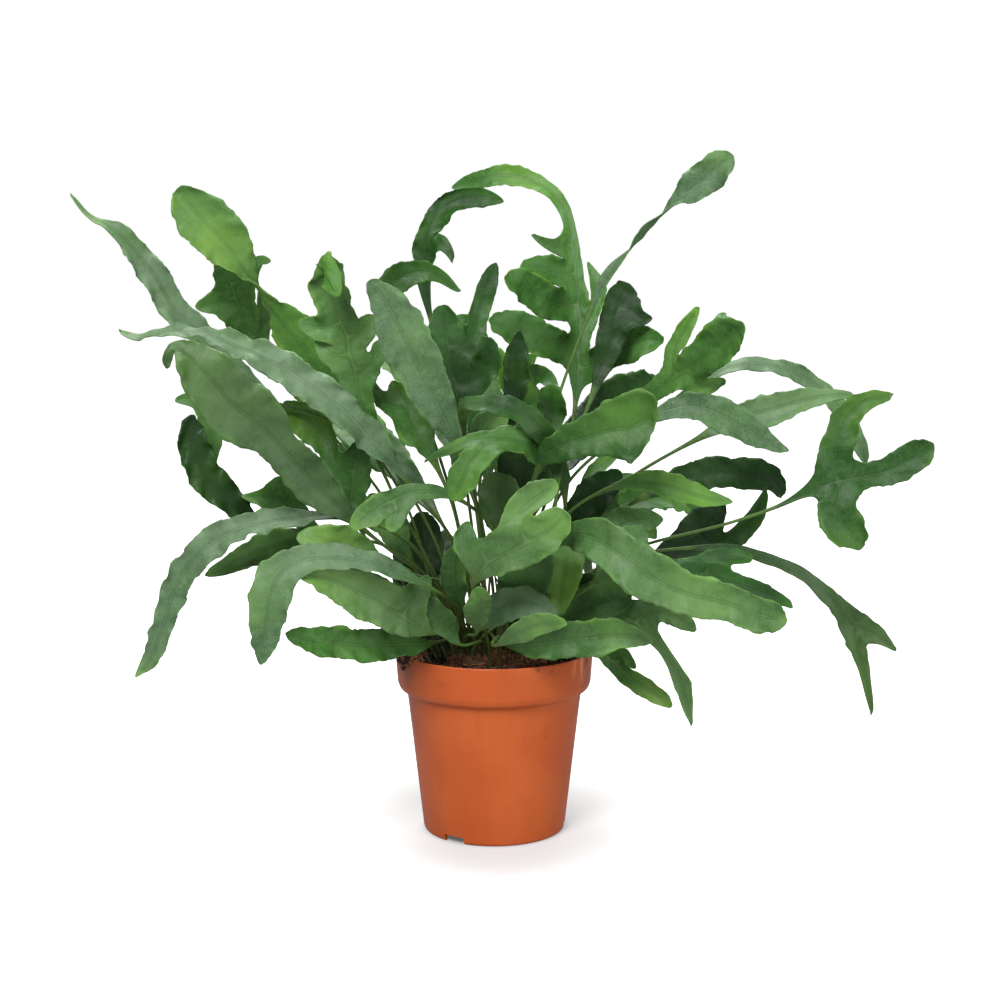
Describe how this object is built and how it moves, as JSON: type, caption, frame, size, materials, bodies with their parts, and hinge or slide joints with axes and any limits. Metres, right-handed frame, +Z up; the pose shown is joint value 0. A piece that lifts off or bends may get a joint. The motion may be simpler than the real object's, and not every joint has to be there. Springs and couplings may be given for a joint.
{
  "type": "potted blue star fern",
  "caption": "Blue star fern with wavy lobed fronds on thin stipes, rising from a creeping rhizome in a round terracotta-coloured nursery pot.",
  "frame": {"origin": "centre of the pot's flat underside, on the surface that it stands on", "axes": "+Z up along the pot's axis, -Y towards the viewer of the picture, +X to the right, along the plant's widest spread"},
  "size_m": [0.4991, 0.3591, 0.4096],
  "materials": {
    "pot_plastic": "satin moulded plastic, faint scuffs and soil smears below the rim",
    "potting_soil": "damp dark peat with bark fibres",
    "frond_blue_green": "waxy blue-green blade with a satin sheen, pale midrib and fine side veins",
    "frond_green": "fresh green blade with a satin sheen, pale midrib, yellow-green towards some tips",
    "frond_dark_green": "deep green blade with a satin sheen and a pale midrib",
    "rhizome_scale": "rust-brown fuzzy scales"
  },
  "bodies": {
    "root": {"pot": "pot_plastic", "soil": "potting_soil", "rhizome_with_inner_fronds": "frond_dark_green", "frond_01": "frond_green", "frond_02": "frond_blue_green", "frond_03": "frond_blue_green", "frond_04": "frond_blue_green", "frond_05": "frond_green", "frond_06": "frond_blue_green", "frond_07": "frond_green", "frond_08": "frond_blue_green", "frond_09": "frond_green", "frond_10": "frond_blue_green", "frond_11": "frond_blue_green", "frond_12": "frond_dark_green", "frond_13": "frond_dark_green", "frond_14": "frond_green", "frond_15": "frond_green", "frond_16": "frond_green", "frond_17": "frond_dark_green", "frond_18": "frond_green", "frond_19": "frond_blue_green", "frond_20": "frond_blue_green", "frond_21": "frond_blue_green", "frond_22": "frond_green", "frond_23": "frond_blue_green", "frond_24": "frond_blue_green", "frond_25": "frond_blue_green", "frond_26": "frond_dark_green", "frond_27": "frond_green", "frond_28": "frond_green", "frond_29": "frond_green", "frond_30": "frond_green", "frond_31": "frond_green", "frond_32": "frond_green", "frond_33": "frond_blue_green", "frond_34": "frond_dark_green", "frond_35": "frond_dark_green", "frond_36": "frond_dark_green", "frond_37": "frond_green", "frond_38": "frond_blue_green", "frond_39": "frond_blue_green", "frond_40": "frond_blue_green", "frond_41": "frond_dark_green", "frond_42": "frond_green", "frond_43": "frond_green", "frond_44": "frond_dark_green", "frond_45": "frond_dark_green", "frond_46": "frond_blue_green", "frond_47": "frond_green", "frond_48": "frond_blue_green", "frond_49": "frond_green", "frond_50": "frond_blue_green", "frond_51": "frond_green", "frond_52": "frond_dark_green", "frond_53": "frond_blue_green", "frond_54": "frond_green", "frond_55": "frond_dark_green", "frond_56": "frond_blue_green", "frond_57": "frond_green"}
  },
  "joints": []
}
